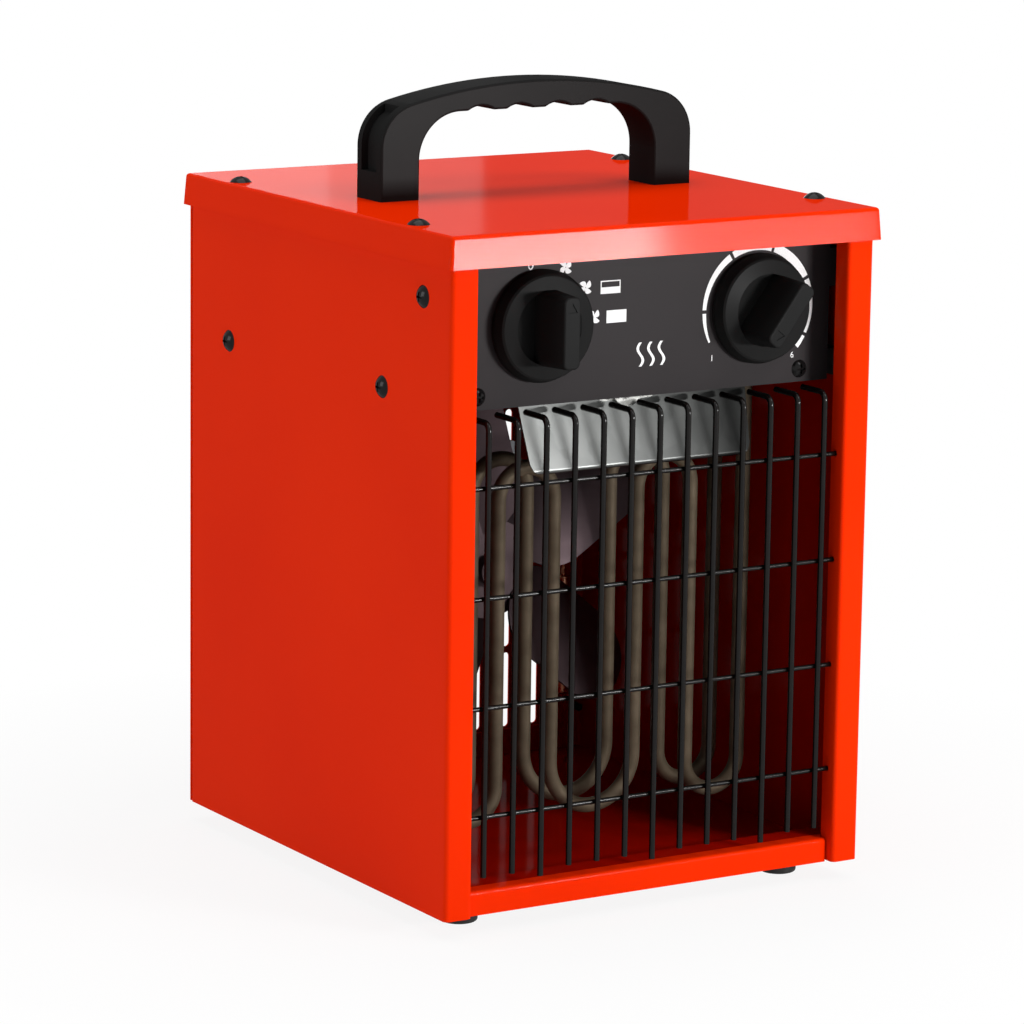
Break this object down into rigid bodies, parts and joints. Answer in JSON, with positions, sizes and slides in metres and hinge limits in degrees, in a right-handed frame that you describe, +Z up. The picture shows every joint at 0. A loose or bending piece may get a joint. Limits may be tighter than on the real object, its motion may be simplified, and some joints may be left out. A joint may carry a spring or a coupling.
{
  "type": "forced air heater",
  "caption": "Box-shaped electric fan heater in folded sheet steel with tubular elements, wire outlet grille, carrying handle, selector and thermostat knobs",
  "frame": {"origin": "middle of the bounding box, on the floor under the feet", "axes": "+Z up; the air outlet, control panel and knobs face -Y; +X is to the right seen from the front"},
  "size_m": [0.2098, 0.2478, 0.3375],
  "materials": {
    "red_paint": "gloss",
    "grey_paint": "satin",
    "galvanised": "satin",
    "black_plastic": "satin",
    "moulding": "matte",
    "black_screw": "gloss",
    "zinc": "satin",
    "grille_steel": "satin",
    "element_tube": "matte",
    "fan_alloy": "satin",
    "lamination": "matte",
    "winding": "satin",
    "foot_rubber": "matte",
    "lead_sheath": "matte",
    "copper": "satin"
  },
  "bodies": {
    "chassis": {"lid": "red_paint", "side_panel_left": "red_paint", "side_panel_right": "red_paint", "bottom_tray": "red_paint", "rear_panel": "red_paint", "partition_plate": "galvanised", "control_panel": "grey_paint", "heat_deflector": "galvanised", "thermal_cutout": "zinc", "front_grille": "grille_steel", "handle": "black_plastic", "rotary_switch": "moulding", "thermostat_body": "moulding", "thermostat_bulb": "copper", "thermostat_capillary": "copper", "bulb_clips": "zinc", "element_front": "element_tube", "element_rear": "element_tube", "element_bushings": "zinc", "bushing_nuts": "zinc", "element_beads": "moulding", "element_pins": "zinc", "motor_stator": "lamination", "motor_coil": "winding", "motor_bridge_front": "zinc", "motor_bridge_rear": "zinc", "motor_mount": "galvanised", "motor_screws": "zinc", "motor_nuts": "zinc", "mount_screws": "black_screw", "terminal_block": "moulding", "terminal_screws": "zinc", "block_screw": "zinc", "cable_gland": "black_plastic", "gland_cap": "black_plastic", "gland_nut": "black_plastic", "leads": "lead_sheath", "feet": "foot_rubber", "foot_screws": "zinc", "lid_screws": "black_screw", "side_screws": "black_screw", "rear_screws": "black_screw", "panel_screws": "black_screw", "handle_screws": "zinc", "deflector_screws": "zinc", "cutout_screws": "zinc", "switch_screws": "zinc", "thermostat_screws": "zinc"},
    "selector": {"selector_knob": "black_plastic", "selector_shaft": "moulding"},
    "thermostat_dial": {"thermostat_knob": "black_plastic", "thermostat_spindle": "zinc"},
    "fan": {"fan_impeller": "fan_alloy", "motor_rotor": "lamination", "motor_shaft": "zinc"}
  },
  "joints": [
    {"name": "selector_turn", "type": "hinge", "parent": "chassis", "child": "selector", "pos_m": [-0.0498, -0.0996, 0.2476], "axis": [0, 1, 0], "range_deg": [0, 90]},
    {"name": "thermostat_turn", "type": "hinge", "parent": "chassis", "child": "thermostat_dial", "pos_m": [0.0572, -0.0996, 0.2476], "axis": [0, 1, 0], "range_deg": [0, 270]},
    {"name": "fan_spin", "type": "hinge", "parent": "chassis", "child": "fan", "pos_m": [0, 0.0204, 0.11993], "axis": [0, 1, 0], "continuous": true}
  ]
}
